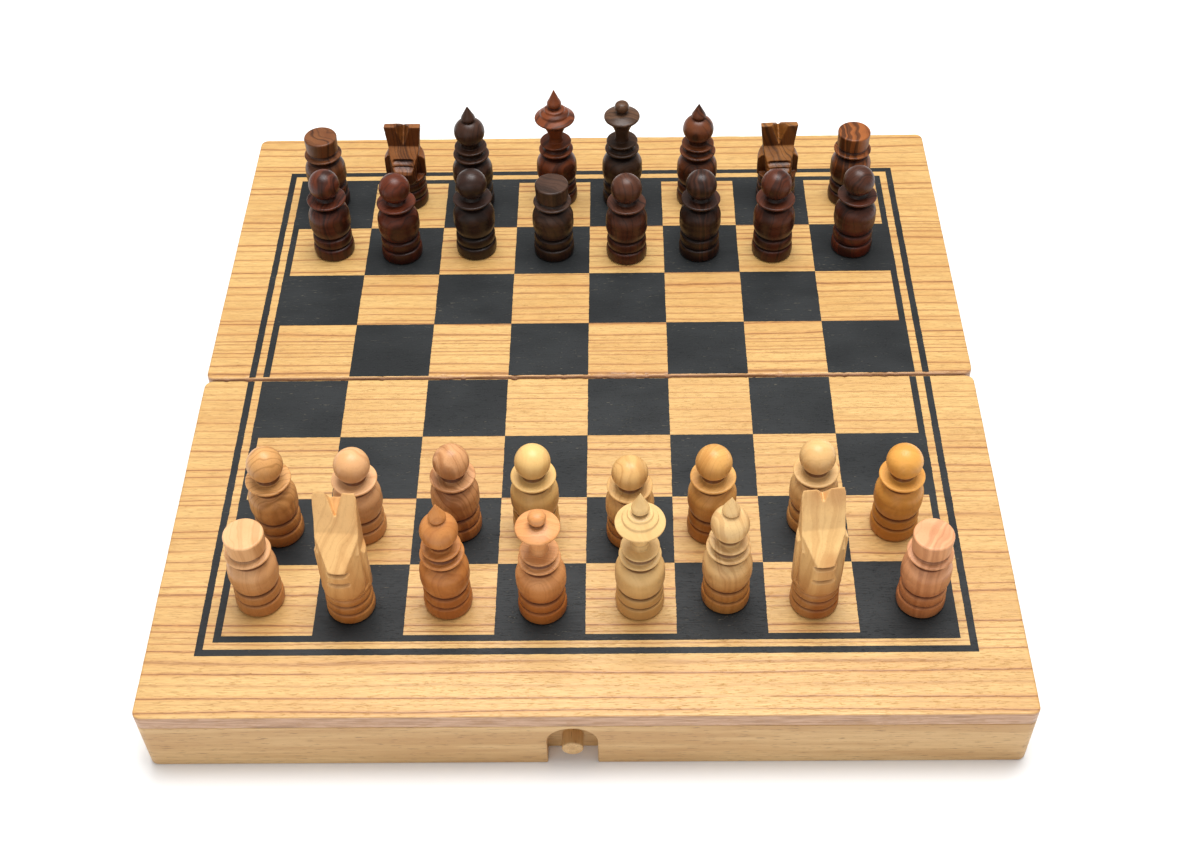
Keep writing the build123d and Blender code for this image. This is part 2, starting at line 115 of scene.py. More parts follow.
def make_area_light(name, at, size, power):
    """Soft box at a place in millimetres, turned to the middle of the board."""
    data = bpy.data.lights.new(name, "AREA")
    data.shape = "RECTANGLE"
    data.size, data.size_y = size[0] * MM, size[1] * MM
    data.energy = power
    light = bpy.data.objects.new(name, data)
    light.location = Vector(at) * MM
    light.rotation_euler = (-Vector(at)).to_track_quat("-Z", "Y").to_euler()
    bpy.context.collection.objects.link(light)


def make_lights():
    make_area_light("softbox_above", (40, 120, 900), (620, 500), 11.2)
    make_area_light("fill_front", (-250, -900, 450), (900, 700), 1.5)
    world = bpy.data.worlds.new("studio")
    world.use_nodes = True
    world.node_tree.nodes["Background"].inputs["Color"].default_value = (1, 1, 1, 1)
    world.node_tree.nodes["Background"].inputs["Strength"].default_value = 0.42
    bpy.context.scene.world = world
    bpy.context.scene.view_settings.view_transform = "Standard"


# --- Materials --------------------------------------------------------------------------------------------


def rgb(code, share=1.0):
    """Linear colour of a six-digit web colour, its parts first multiplied by the share."""
    parts = [int(code[i:i + 2], 16) / 255 * share for i in (0, 2, 4)]
    return (*[p / 12.92 if p <= 0.04045 else ((p + 0.055) / 1.055) ** 2.4 for p in parts], 1)


class Tree:
    """A material whose nodes are written as short calls; each call gives the socket that it makes."""

    def __init__(self, name, roughness):
        self.material = bpy.data.materials.new(name)
        self.material.use_nodes = True
        self.nodes = self.material.node_tree.nodes
        self.shader = self.nodes["Principled BSDF"]
        self.shader.inputs["Roughness"].default_value = roughness
        coordinates = self.nodes.new("ShaderNodeTexCoord")
        self.upward = self.parts(coordinates.outputs["Normal"])[2]
        scale = self.nodes.new("ShaderNodeVectorMath")
        scale.operation = "SCALE"
        scale.inputs["Scale"].default_value = 1 / MM
        self.join(coordinates.outputs["Object"], scale.inputs[0])
        self.place = scale.outputs[0]

    def join(self, value, socket):
        if isinstance(value, bpy.types.NodeSocket):
            self.material.node_tree.links.new(value, socket)
        else:
            socket.default_value = value

    def parts(self, vector):
        node = self.nodes.new("ShaderNodeSeparateXYZ")
        self.join(vector, node.inputs[0])
        return node.outputs

    def vector(self, x, y, z):
        node = self.nodes.new("ShaderNodeCombineXYZ")
        for value, socket in zip((x, y, z), node.inputs):
            self.join(value, socket)
        return node.outputs[0]

    def math(self, operation, first, second=0.0, third=0.0, clamp=False):
        node = self.nodes.new("ShaderNodeMath")
        node.operation = operation
        node.use_clamp = clamp
        for value, socket in zip((first, second, third), node.inputs):
            self.join(value, socket)
        return node.outputs[0]

    def noise(self, factors, detail=2.0, roughness=0.5, shift=0.0, place=None, distortion=0.0):
        """Noise of the place times the factors, each in cycles per millimetre."""
        mapping = self.nodes.new("ShaderNodeMapping")
        mapping.inputs["Scale"].default_value = factors
        mapping.inputs["Location"].default_value = (shift, shift * 1.7, shift * 0.6)
        self.join(place or self.place, mapping.inputs["Vector"])
        node = self.nodes.new("ShaderNodeTexNoise")
        node.inputs["Scale"].default_value = 1
        node.inputs["Detail"].default_value = detail
        node.inputs["Roughness"].default_value = roughness
        node.inputs["Distortion"].default_value = distortion
        self.join(mapping.outputs[0], node.inputs["Vector"])
        return node.outputs["Fac"]

    def chance(self, number, shift):
        """Even random value between 0 and 1 for a whole number."""
        node = self.nodes.new("ShaderNodeTexWhiteNoise")
        node.noise_dimensions = "1D"
        self.join(self.math("ADD", number, shift), node.inputs["W"])
        return node.outputs["Value"]

    def step(self, value, low, high):
        """0 below low and 1 above high, with a smooth rise between; low may be above high."""
        node = self.nodes.new("ShaderNodeMapRange")
        node.interpolation_type = "SMOOTHSTEP"
        self.join(value, node.inputs["Value"])
        for name, limit in (("From Min", low), ("From Max", high)):
            self.join(limit, node.inputs[name])
        return node.outputs[0]

    def mix(self, factor, first, second, blend="MIX"):
        node = self.nodes.new("ShaderNodeMix")
        node.data_type = "RGBA"
        node.blend_type = blend
        self.join(factor, node.inputs[0])
        self.join(first, node.inputs[6])
        self.join(second, node.inputs[7])
        return node.outputs[2]

    def mark(self, name):
        """Value written on the mesh: wear is above 0 on edges, hollow is the depth in grooves in millimetres."""
        node = self.nodes.new("ShaderNodeAttribute")
        node.attribute_name = name
        return node.outputs["Fac"]

    def matt(self, level):
        """Weaker reflection of the surroundings than bare glass has, as on waxed dark wood."""
        self.shader.inputs["Specular IOR Level"].default_value = level

    def done(self, colour, height=None, distance=0.03, roughness=None):
        """Joins the colour, the bump of the given height in millimetres, and the roughness to the shader."""
        self.join(colour, self.shader.inputs["Base Color"])
        if height is not None:
            bump = self.nodes.new("ShaderNodeBump")
            bump.inputs["Strength"].default_value = 1
            bump.inputs["Distance"].default_value = distance * MM
            self.join(height, bump.inputs["Height"])
            self.join(bump.outputs[0], self.shader.inputs["Normal"])
        if roughness is not None:
            self.join(roughness, self.shader.inputs["Roughness"])
        return self.material


def stripe_lines(tree, spacing, shift):
    """Late-wood lines across Y: how strong the thin line is, and the soft halo round it."""
    y = tree.parts(tree.place)[1]
    sway = tree.noise((0.011, 0.05, 0.02), 2, 0.5, shift)
    waver = tree.noise((0.09, 0.5, 0.1), 2, 0.6, shift + 3)
    drift = tree.math("MULTIPLY_ADD", sway, 3.5, y)
    drift = tree.math("MULTIPLY_ADD", waver, 0.5, drift)
    crowd = tree.noise((0.0, 0.09, 0.0), 1, 0.5, shift + 7)
    count = tree.math("MULTIPLY_ADD", crowd, 4.5, tree.math("DIVIDE", drift, spacing))
    ring = tree.math("FLOOR", count)
    inside = tree.math("FRACT", count)
    centre = tree.math("MULTIPLY_ADD", tree.chance(ring, 0.31), 0.5, 0.25)
    away = tree.math("ABSOLUTE", tree.math("SUBTRACT", inside, centre))
    width = tree.math("MULTIPLY_ADD", tree.chance(ring, 0.77), 0.06, 0.04)
    fade = tree.step(tree.noise((0.02, 0.35, 0.1), 2, 0.5, shift + 11), 0.22, 0.5)
    strong = tree.math("MULTIPLY", tree.step(tree.chance(ring, 0.13), -0.15, 0.6), fade)
    outer, inner = tree.math("MULTIPLY", width, 1.6), tree.math("MULTIPLY", width, 0.4)
    line = tree.math("MULTIPLY", tree.step(away, outer, inner), strong)
    halo = tree.math("MULTIPLY", tree.step(away, tree.math("MULTIPLY", width, 5.0), 0.0), strong)
    return line, halo


def veneer(name):
    """Lacquered straw-coloured veneer with thin brown lines along X, on a plain board with brownish edges."""
    tree = Tree(name, 0.42)
    line, halo = stripe_lines(tree, 2.3, 0)
    fibre = tree.noise((0.22, 4.5, 1.0), 3, 0.65, 5)
    fleck = tree.noise((0.55, 7.0, 1.0), 2, 0.5, 9)
    cloud = tree.noise((0.02, 0.12, 0.05), 2, 0.5, 13)
    colour = tree.mix(tree.step(cloud, 0.35, 0.65), rgb("CB9F5E"), rgb("D5AD6B"))
    colour = tree.mix(tree.math("MULTIPLY", tree.step(fibre, 0.42, 0.72), 0.6), colour, rgb("B08850"))
    colour = tree.mix(tree.math("MULTIPLY", tree.step(fibre, 0.45, 0.25), 0.5), colour, rgb("E6C48A"))
    colour = tree.mix(tree.math("MULTIPLY", halo, 0.5), colour, rgb("BC7A3E"))
    broken = tree.math("MULTIPLY", line, tree.step(fleck, 0.2, 0.5))
    colour = tree.mix(tree.math("MULTIPLY", broken, 0.8), colour, rgb("80502A"))
    pores = tree.step(fleck, 0.6, 0.72)
    colour = tree.mix(tree.math("MULTIPLY", pores, 0.55), colour, rgb("A8743E"))
    # Cut sides of the board under the veneer
    chips = tree.noise((0.12, 0.12, 2.2), 3, 0.6, 21)
    side = tree.mix(tree.step(chips, 0.35, 0.7), rgb("C9A183"), rgb("A47B57"))
    smear = tree.noise((0.05, 0.05, 0.8), 2, 0.6, 25)
    side = tree.mix(tree.math("MULTIPLY", tree.step(smear, 0.58, 0.72), 0.6), side, rgb("76512F"))
    edge = tree.step(tree.upward, 0.9, 0.6)
    under = tree.step(tree.upward, -0.5, -0.8)
    colour = tree.mix(edge, colour, side)
    colour = tree.mix(under, colour, tree.mix(fibre, rgb("C79C66"), rgb("E0BC86")))
    # Handling wears the lacquer from the edges and leaves them darker
    worn = tree.math("MULTIPLY", tree.step(tree.mark("wear"), 0.25, 0.8), tree.step(chips, 0.3, 0.6))
    colour = tree.mix(tree.math("MULTIPLY", worn, 0.5), colour, rgb("B58A5A"))
    hair = tree.noise((0.35, 9.0, 1.0), 2, 0.6, 17)
    colour = tree.mix(tree.math("MULTIPLY", tree.step(hair, 0.5, 0.68), 0.4), colour, rgb("A27440"))
    sunk = tree.math("ADD", pores, tree.math("MULTIPLY", line, 0.4))
    height = tree.math("SUBTRACT", tree.math("MULTIPLY", fibre, 0.5), sunk)
    roughness = tree.math("MULTIPLY_ADD", fleck, 0.2, 0.32)
    return tree.done(colour, height, 0.035, roughness)


def rail_wood(name, across, shift):
    """Plain pale hardwood with short dark pores; across is 1 where the grain runs along X and 0 along Y."""
    tree = Tree(name, 0.5)
    run = lambda along, cross: (along, cross, cross) if across else (cross, along, cross)
    fibre = tree.noise(run(0.12, 2.6), 3, 0.6, shift)
    pore = tree.noise(run(0.28, 3.4), 2, 0.5, shift + 4)
    figure = tree.noise(run(0.018, 0.35), 2, 0.5, shift + 8)
    colour = tree.mix(tree.step(figure, 0.35, 0.65), rgb("D3AE79"), rgb("BF9560"))
    colour = tree.mix(tree.math("MULTIPLY", tree.step(fibre, 0.4, 0.75), 0.55), colour, rgb("B88A55"))
    pores = tree.step(pore, 0.6, 0.7)
    colour = tree.mix(tree.math("MULTIPLY", pores, 0.65), colour, rgb("7E5832"))
    worn = tree.math("MULTIPLY", tree.step(tree.mark("wear"), 0.3, 0.9), tree.step(fibre, 0.3, 0.6))
    colour = tree.mix(tree.math("MULTIPLY", worn, 0.35), colour, rgb("9A7040"))
    return tree.done(colour, tree.math("SUBTRACT", tree.math("MULTIPLY", fibre, 0.4), pores), 0.04)


def printing_ink(name):
    """Slate-black ink that lets the grain show through, with a few specks where it has missed or rubbed off."""
    tree = Tree(name, 0.5)
    tree.matt(0.22)
    fibre = tree.noise((0.22, 4.5, 1.0), 3, 0.65, 5)
    fleck = tree.noise((0.55, 7.0, 1.0), 2, 0.5, 9)
    patch = tree.noise((0.05, 0.09, 0.05), 2, 0.5, 31)
    colour = tree.mix(tree.step(patch, 0.3, 0.7), rgb("1E2021"), rgb("2A2C2D"))
    colour = tree.mix(tree.math("MULTIPLY", tree.step(fibre, 0.45, 0.75), 0.5), colour, rgb("161717"))
    specks = tree.math("MULTIPLY", tree.step(fleck, 0.68, 0.75), tree.step(patch, 0.35, 0.6))
    colour = tree.mix(tree.math("MULTIPLY", specks, 0.6), colour, rgb("8C8470"))
    height = tree.math("SUBTRACT", tree.math("MULTIPLY", fibre, 0.6), tree.step(fleck, 0.6, 0.72))
    roughness = tree.math("MULTIPLY_ADD", fibre, 0.25, 0.34)
    return tree.done(colour, height, 0.03, roughness)


def man_wood(name, pale, deep, streak, seed, stripes, foot, upright):
    """Waxed turned wood, cut with the grain upright: rings lean through the piece and show on balls as curves.

    The pale colour is for the head and the deep one for what foot says of the lower part, partly the wood's own
    tone and partly painted shade low down; streak darkens the late wood by the share in stripes, and upright says
    how far steep faces are darkened as painted shade.
    """
    tree = Tree(name, 0.36)
    tree.matt(0.3)
    x, y, z = tree.parts(tree.place)
    lean = seed * 2.4
    across = tree.math("MULTIPLY_ADD", y, sin(lean), tree.math("MULTIPLY", x, cos(lean)))
    across = tree.math("MULTIPLY_ADD", z, 0.07, across)
    bend = tree.noise((0.12, 0.12, 0.035), 2, 0.5, seed)
    bent = tree.math("MULTIPLY_ADD", bend, 7.0, across)
    band = tree.noise((0.6, 0.03, 0.01), 2, 0.6, seed + 5, tree.vector(bent, across, z))
    fibre = tree.noise((3.6, 3.6, 0.16), 3, 0.6, seed + 9)
    fleck = tree.noise((6.0, 6.0, 0.5), 2, 0.5, seed + 2)
    cloud = tree.noise((0.1, 0.1, 0.05), 2, 0.5, seed + 14)
    # Lower part: partly the wood's own deeper tone and partly painted shade low down
    low = tree.step(tree.math("MULTIPLY_ADD", cloud, 14.0, z), 25.0, 10.0)
    clouded = tree.math("MULTIPLY", tree.step(cloud, 0.45, 0.7), 0.5)
    share = tree.math("ADD", tree.math("MULTIPLY", low, foot), clouded, clamp=True)
    colour = tree.mix(share, pale, deep)
    colour = tree.mix(tree.math("MULTIPLY", tree.step(band, 0.48, 0.62), stripes), colour, streak)
    count = tree.math("MULTIPLY", bent, 0.85)
    away = tree.math("ABSOLUTE", tree.math("SUBTRACT", tree.math("FRACT", count), 0.5))
    chosen = tree.step(tree.chance(tree.math("FLOOR", count), seed), 0.25, 0.8)
    vein = tree.math("MULTIPLY", tree.step(away, 0.16, 0.03), chosen)
    colour = tree.mix(tree.math("MULTIPLY", vein, stripes * 0.75), colour, streak)
    colour = tree.mix(tree.math("MULTIPLY", tree.step(fibre, 0.5, 0.8), 0.45 * stripes + 0.12), colour, streak)
    colour = tree.mix(tree.math("MULTIPLY", tree.step(fleck, 0.66, 0.74), 0.4), colour, streak)
    # Sharp edges paler: partly rubbed wear and partly a painted highlight
    wear = tree.mark("wear")
    colour = tree.mix(tree.math("MULTIPLY", tree.step(wear, 0.25, 0.9), 0.3), colour, pale)
    # A warm tint over the whole piece, then painted shade: darker low down, on steep faces and deepest in the
    # turned grooves
    colour = tree.mix(1.0, colour, rgb("F6E2CE"), "MULTIPLY")
    colour = tree.mix(tree.math("MULTIPLY", low, 0.65), colour, rgb("D8BE9A"), "MULTIPLY")
    # Painted shade: faces that stand nearly upright are darkened
    steep = tree.math("MULTIPLY", tree.step(tree.upward, 0.6, 0.1), upright)
    colour = tree.mix(steep, colour, rgb("A88C74"), "MULTIPLY")
    # Painted shade in the grooves and under the collars, by the hollow depth
    groove_painted_shade = tree.step(tree.mark("hollow"), 0.05, 0.75)
    colour = tree.mix(tree.math("MULTIPLY", groove_painted_shade, 0.85), colour, rgb("6E4A2E"), "MULTIPLY")
    height = tree.math("SUBTRACT", tree.math("MULTIPLY", fibre, 0.35), tree.step(fleck, 0.62, 0.72))
    roughness = tree.math("MULTIPLY_ADD", fibre, 0.22, 0.26)
    return tree.done(colour, height, 0.02, roughness)


def plain_brass(name):
    tree = Tree(name, 0.35)
    tree.shader.inputs["Metallic"].default_value = 1
    tarnish = tree.noise((0.5, 0.5, 0.5), 3, 0.6, 2)
    brushed = tree.noise((0.3, 9.0, 9.0), 2, 0.5, 6)
    colour = tree.mix(tree.step(tarnish, 0.4, 0.7), rgb("DDBB72"), rgb("A98448"))
    return tree.done(colour, brushed, 0.01, tree.math("MULTIPLY_ADD", tarnish, 0.3, 0.2))


# --- Mesh tools -------------------------------------------------------------------------------------------


def solid_object(name, bm):
    """New object from a bmesh in millimetres, with its faces turned outward."""
    bmesh.ops.recalc_face_normals(bm, faces=bm.faces)
    mesh = bpy.data.meshes.new(name)
    bm.to_mesh(mesh)
    bm.free()
    piece = bpy.data.objects.new(name, mesh)
    bpy.context.collection.objects.link(piece)
    return piece


def settle(piece):
    """Applies the piece's modifiers to its mesh."""
    evaluated = piece.evaluated_get(bpy.context.evaluated_depsgraph_get())
    mesh = bpy.data.meshes.new_from_object(evaluated)
    piece.modifiers.clear()
    piece.data = mesh


def mark_wear(mesh, passes, gain):
    """Writes how sharply the mesh is bent at each point: positive on edges and negative in grooves."""
    count = len(mesh.vertices)
    places = np.empty(count * 3)
    mesh.vertices.foreach_get("co", places)
    places = places.reshape(-1, 3)
    normals = np.empty(count * 3)
    mesh.vertices.foreach_get("normal", normals)
    normals = normals.reshape(-1, 3)
    ends = np.empty(len(mesh.edges) * 2, dtype=np.int64)
    mesh.edges.foreach_get("vertices", ends)
    ends = ends.reshape(-1, 2)
    neighbours = np.maximum(np.bincount(ends.ravel(), minlength=count), 1)

    def around(values):
        total = np.zeros_like(values)
        np.add.at(total, ends[:, 0], values[ends[:, 1]])
        np.add.at(total, ends[:, 1], values[ends[:, 0]])
        return total / neighbours.reshape(-1, *[1] * (values.ndim - 1))

    length = np.linalg.norm(places[ends[:, 0]] - places[ends[:, 1]], axis=1)
    span = np.zeros(count)
    np.add.at(span, ends[:, 0], length)
    np.add.at(span, ends[:, 1], length)
    span = np.maximum(span / neighbours, 0.05)
    bent = np.einsum("ij,ij->i", places - around(places), normals) / span ** 2
    for _ in range(passes):
        bent = (bent + around(bent)) / 2
    attribute = mesh.attributes.new("wear", "FLOAT", "POINT")
    attribute.data.foreach_set("value", np.clip(bent * gain, -1, 1).astype(np.float32))


def finish_piece(piece, place, material, body, slot, *nodes):
    """Gives a mesh in millimetres its scale, place, material and body."""
    piece.data.transform(Matrix.Scale(MM, 4))
    piece.matrix_world = place
    piece.data.materials.clear()
    piece.data.materials.append(material)
    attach(piece, body)
    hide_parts(*nodes)


# --- Frames of the two halves and of the men --------------------------------------------------------------


def joint(name):
    return next(j for j in frame["joints"] if j["name"] == name)


def half_frame(half):
    """Frame of a half: origin on the hinge axis, X to the right, Y up the board, Z square to its top."""
    rook = "dark_rook_a_lift" if half == "back" else "light_rook_a_lift"
    up = Vector(joint(rook)["axis"]).normalized()
    across = Vector((1, 0, 0))
    along = up.cross(across)
    turn = Matrix((across, along, up)).transposed().to_4x4()
    return Matrix.Translation(joint("board_fold")["pos_m"]) @ turn


def inner_box(node, place):
    """Box of a CAD node in the given frame, in millimetres."""
    inverse = place.inverted()
    corners = np.array([inverse @ v.co for v in frame["nodes"][node].data.vertices]) / MM
    return corners.min(axis=0), corners.max(axis=0)


def seat_of(node, half):
    """Frame under a man, with Z square to the board, and the man's height in millimetres."""
    place = half_frame(half)
    inverse = place.inverted()
    corners = np.array([inverse @ v.co for v in frame["nodes"][node].data.vertices]) / MM
    low = corners[:, 2].min()
    foot = corners[corners[:, 2] < low + 0.1]
    centre = (foot.min(axis=0) + foot.max(axis=0)) / 2
    seat = place @ Matrix.Translation(Vector((centre[0], centre[1], low)) * MM)
    return seat, corners[:, 2].max() - low


# --- Board ------------------------------------------------------------------------------------------------


def wander(x, y, reach, seed):
    """Smooth random value from -1 to 1 at a place; it changes over about the given distance."""
    return noise.noise(Vector((x / reach, y / reach, seed)))


def rounded_outline(low, high, radius, spacing):
    """Points of a rounded rectangle, each (x, y, outward x, outward y), anticlockwise."""
    corners = [
        (high[0] - radius, low[1] + radius, -90),
        (high[0] - radius, high[1] - radius, 0),
        (low[0] + radius, high[1] - radius, 90),
        (low[0] + radius, low[1] + radius, 180),
    ]
    points = []
    for i, (x, y, start) in enumerate(corners):
        for step in range(9):
            angle = radians(start + 90 * step / 8)
            points.append((x + radius * cos(angle), y + radius * sin(angle), cos(angle), sin(angle)))
        next_x, next_y, _ = corners[(i + 1) % 4]
        outward = (cos(angle), sin(angle))
        steps = int(hypot(next_x - x, next_y - y) / spacing)
        for step in range(1, steps):
            share = step / steps
            points.append((x + (next_x - x) * share + radius * outward[0],
                           y + (next_y - y) * share + radius * outward[1], *outward))
    return points


def make_top_board(half):
    """Veneered board of a half, its upper edge rounded by wear, with small chips along the seam."""
    place = half_frame(half)
    node = f"{half}_playing_panel"
    low, high = inner_box(node, place)
    outline = rounded_outline(low, high, CORNER_RADIUS, 0.5)
    seam = low[1] if half == "back" else high[1]

    def loop(inset, height, share):
        """Points at an inset from the outline, as a share of the wear there, and at a height."""
        points = []
        for x, y, out_x, out_y in outline:
            wear = 0.42 + 0.14 * wander(x, y, 9, 1.5) + 0.1 * wander(x, y, 1.7, 4.5)
            if abs(y - seam) < CORNER_RADIUS:
                chip = max(0, wander(x, y, 1.6, 8.5) - 0.25) * 1.3
                wear += 0.1 + chip
            step_in = inset * wear if share else inset
            down = height * wear if share else 0
            points.append((x - out_x * step_in, y - out_y * step_in, (high[2] - down) if share else height))
        return points

    loops = [loop(0.25, low[2], False), loop(0.05, low[2] + 0.06, False), loop(0, low[2] + 0.25, False)]
    for step in range(6):
        angle = radians(90 * step / 5)
        loops.append(loop(1 - cos(angle), 1 - sin(angle), True))
    loops.append(loop(1.6, 0, True))
    bm = bmesh.new()
    rows = [[bm.verts.new(point) for point in points] for points in loops]
    count = len(outline)
    for lower, upper in zip(rows, rows[1:]):
        for i in range(count):
            bm.faces.new((lower[i], lower[(i + 1) % count], upper[(i + 1) % count], upper[i]))
    bm.faces.new(rows[-1])
    bm.faces.new(list(reversed(rows[0])))
    piece = solid_object(f"{half}_veneered_board", bm)
    for face in piece.data.polygons:
        face.use_smooth = len(face.vertices) == 4
    mark_wear(piece.data, 1, 0.25)
    return piece, place, node


def ragged_patch(bm, corners, low, high, amount):
    """Closed flat solid whose outline is the corners joined by lines, with a ragged edge like a print's.

    amount(x, y, across) gives how far the edge may stray there; across is true where it crosses the grain.
    """
    outline = []
    for i, (x, y) in enumerate(corners):
        next_x, next_y = corners[(i + 1) % len(corners)]
        steps = max(1, int(hypot(next_x - x, next_y - y) / 0.35))
        across = abs(next_x - x) < abs(next_y - y)
        for step in range(steps):
            share = step / steps
            here_x, here_y = x + (next_x - x) * share, y + (next_y - y) * share
            stray = amount(here_x, here_y, across) * min(1, 6 * share * (1 - share) + 0.02)
            if across:
                seed = round(here_x * 3)
                here_x += stray * (0.6 * wander(0, here_y, 0.45, seed) + 0.4 * wander(0, here_y, 2.5, seed + 0.5))
            else:
                seed = round(here_y * 3)
                here_y += stray * (0.5 * wander(here_x, 0, 2.2, seed) + 0.5 * wander(here_x, 0, 0.8, seed + 0.5))
            outline.append((here_x, here_y))
    lower = [bm.verts.new((x, y, low)) for x, y in outline]
    upper = [bm.verts.new((x, y, high)) for x, y in outline]
    count = len(outline)
    bm.faces.new(upper)
    bm.faces.new(list(reversed(lower)))
    for i in range(count):
        bm.faces.new((lower[i], lower[(i + 1) % count], upper[(i + 1) % count], upper[i]))


def make_ink(half):
    """Black squares and border lines of a half, a thin layer of ink with slightly ragged edges."""
    place = half_frame(half)
    node = f"{half}_printed_squares"
    direction = HALVES[half]
    _, top = inner_box(f"{half}_playing_panel", place)
    low, high = top[2] - INK_SUNK, top[2] + INK_PROUD
    side = SQUARES / 2 * SQUARE_ACROSS
    depth = SQUARES / 2 * SQUARE_ALONG

    def is_black(column, row):
        """Row 0 is at the seam; the left front corner of the whole field is pale."""
        return (column + row) % 2 == (1 if half == "back" else 0)

    def square_stray(x, y, across):
        """Edges against the border line are shared with it, so they stay straight."""
        if abs(abs(x) - side) < 0.1 or abs(abs(y) - depth) < 0.1:
            return 0
        return 0.22 if across else 0.1

    bm = bmesh.new()
    for column in range(SQUARES):
        for row in range(SQUARES // 2):
            if is_black(column, row):
                left = -side + column * SQUARE_ACROSS
                near = max(row * SQUARE_ALONG, SEAM_PRINT_GAP)
                far = (row + 1) * SQUARE_ALONG
                corners = [(left, near), (left + SQUARE_ACROSS, near), (left + SQUARE_ACROSS, far), (left, far)]
                ragged_patch(bm, [(x, y * direction) for x, y in corners], low, high, square_stray)
    for offset in (0, LINE_WIDTH + LINE_GAP):
        x_in, y_in = side + offset, depth + offset
        x_out, y_out = x_in + LINE_WIDTH, y_in + LINE_WIDTH
        corners = [
            (-x_out, SEAM_PRINT_GAP), (-x_in, SEAM_PRINT_GAP), (-x_in, y_in), (x_in, y_in),
            (x_in, SEAM_PRINT_GAP), (x_out, SEAM_PRINT_GAP), (x_out, y_out), (-x_out, y_out),
        ]
        ragged_patch(bm, [(x, y * direction) for x, y in corners], low, high, square_stray)
    return solid_object(f"{half}_printed_ink", bm), place, node


def prism(outline, low, high, order=(0, 1, 2)):
    """bmesh of a closed prism; order says which axes the outline's two values and the height lie on."""
    bm = bmesh.new()
    ends = []
    for height in (low, high):
        loop = []
        for first, second in outline:
            point = [0, 0, 0]
            for axis, value in zip(order, (first, second, height)):
                point[axis] = value
            loop.append(bm.verts.new(point))
        ends.append(loop)
    count = len(outline)
    for i in range(count):
        bm.faces.new((ends[0][i], ends[0][(i + 1) % count], ends[1][(i + 1) % count], ends[1][i]))
    bm.faces.new(ends[1])
    bm.faces.new(list(reversed(ends[0])))
    return bm


def cut_away(piece, bm):
    """Cuts a bmesh's volume out of the piece."""
    cutter = solid_object("cutter", bm)
    modifier = piece.modifiers.new("cut", "BOOLEAN")
    modifier.operation = "DIFFERENCE"
    modifier.solver = "EXACT"
    modifier.object = cutter
    settle(piece)
    bpy.data.objects.remove(cutter)


def ease_edges(piece, width):
    """Rounds every sharp edge a little, and keeps the flat faces flat."""
    bevel = piece.modifiers.new("ease", "BEVEL")
    bevel.width = width
    bevel.segments = 3
    bevel.limit_method = "ANGLE"
    bevel.angle_limit = radians(35)
    bevel.harden_normals = True
    piece.data.shade_smooth()
    settle(piece)


def notch_outline(centre, rim):
    """Finger notch in the face of a rail: straight sides that rise to a round arch."""
    arch = rim + RAIL_HEIGHT - NOTCH_ROOF - NOTCH_RADIUS
    points = [(centre - NOTCH_RADIUS, rim - 1), (centre + NOTCH_RADIUS, rim - 1)]
    for step in range(25):
        angle = pi * step / 24
        points.append((centre + NOTCH_RADIUS * cos(angle), arch + NOTCH_RADIUS * sin(angle)))
    return points


def make_outer_rail(half):
    """Rail at the free side of a half, with its finger notch."""
    place = half_frame(half)
    node = f"{half}_outer_rail"
    low, high = inner_box(node, place)
    radius = CORNER_RADIUS
    plan = []
    for x, y, _, _ in rounded_outline(low, high, radius, 400):
        squared = y > low[1] + radius if half == "front" else y < high[1] - radius
        if squared:
            y = high[1] if half == "front" else low[1]
            x = low[0] if x < 0 else high[0]
        if (x, y) not in plan:
            plan.append((x, y))
    piece = solid_object(f"{half}_notched_rail", prism(plan, low[2], high[2]))
    peg_low, peg_high = inner_box(f"{half}_peg", place)
    centre = (peg_low[0] + peg_high[0]) / 2
    face = high[1] if half == "back" else low[1]
    pocket = face - HALVES[half] * NOTCH_DEPTH
    cut_away(piece, prism(notch_outline(centre, low[2]), *sorted((pocket, face + HALVES[half])), (0, 2, 1)))
    ease_edges(piece, RAIL_EASE)
    mark_wear(piece.data, 0, 0.2)
    return piece, place, node


def make_plain_rail(half, side):
    place = half_frame(half)
    node = f"{half}_{side}_rail"
    low, high = inner_box(node, place)
    plan = [(low[0], low[1]), (high[0], low[1]), (high[0], high[1]), (low[0], high[1])]
    piece = solid_object(f"{half}_{side}_side_rail", prism(plan, low[2], high[2]))
    ease_edges(piece, RAIL_EASE)
    mark_wear(piece.data, 0, 0.2)
    return piece, place, node


def build_board():
    top = veneer("striped_veneer")
    ink = printing_ink("slate_ink")
    along_x = rail_wood("rail_wood_across", 1, 0)
    along_y = rail_wood("rail_wood_along", 0, 40)
    dowel = rail_wood("dowel_wood", 0, 80)
    brass = plain_brass("brass")
    for half in HALVES:
        body = f"{half}_half"
        piece, place, node = make_top_board(half)
        finish_piece(piece, place, top, body, "veneer", node)
        piece, place, node = make_ink(half)
        finish_piece(piece, place, ink, body, "ink", node)
        piece, place, node = make_outer_rail(half)
        finish_piece(piece, place, along_x, body, "rail_wood", node)
        for side in ("left", "right"):
            piece, place, node = make_plain_rail(half, side)
            finish_piece(piece, place, along_y, body, "rail_wood", node)
        paint(f"{half}_seam_rail", along_x)
        paint(f"{half}_peg", dowel)
        paint(f"{half}_hinge_screws", brass)
    for side in ("left", "right"):
        for part in ("back_leaf", "front_leaf", "pin"):
            paint(f"{side}_hinge_{part}", brass)


def paint(node, material):
    mesh = frame["nodes"][node].data
    mesh.materials.clear()
    mesh.materials.append(material)


# --- Turned men -------------------------------------------------------------------------------------------
#
# A man is one half-outline, a list of strokes, each (radius, height, rise) of its end: a straight stroke has
# no rise, and an arc swells outward by its rise.

FOOT = [
    (5.0, 0, 0),
    (5.3, 0.35, 0),
    (5.25, 3.3, 0.15),
    (4.4, 3.8, 0),
    (5.1, 4.2, 0),
    (5.05, 6.5, 0.15),
    (4.1, 7.1, 0),
    (4.85, 7.5, 0),
    (5.4, 11.6, 0.3),
    (2.6, 16.2, 1.0),
]


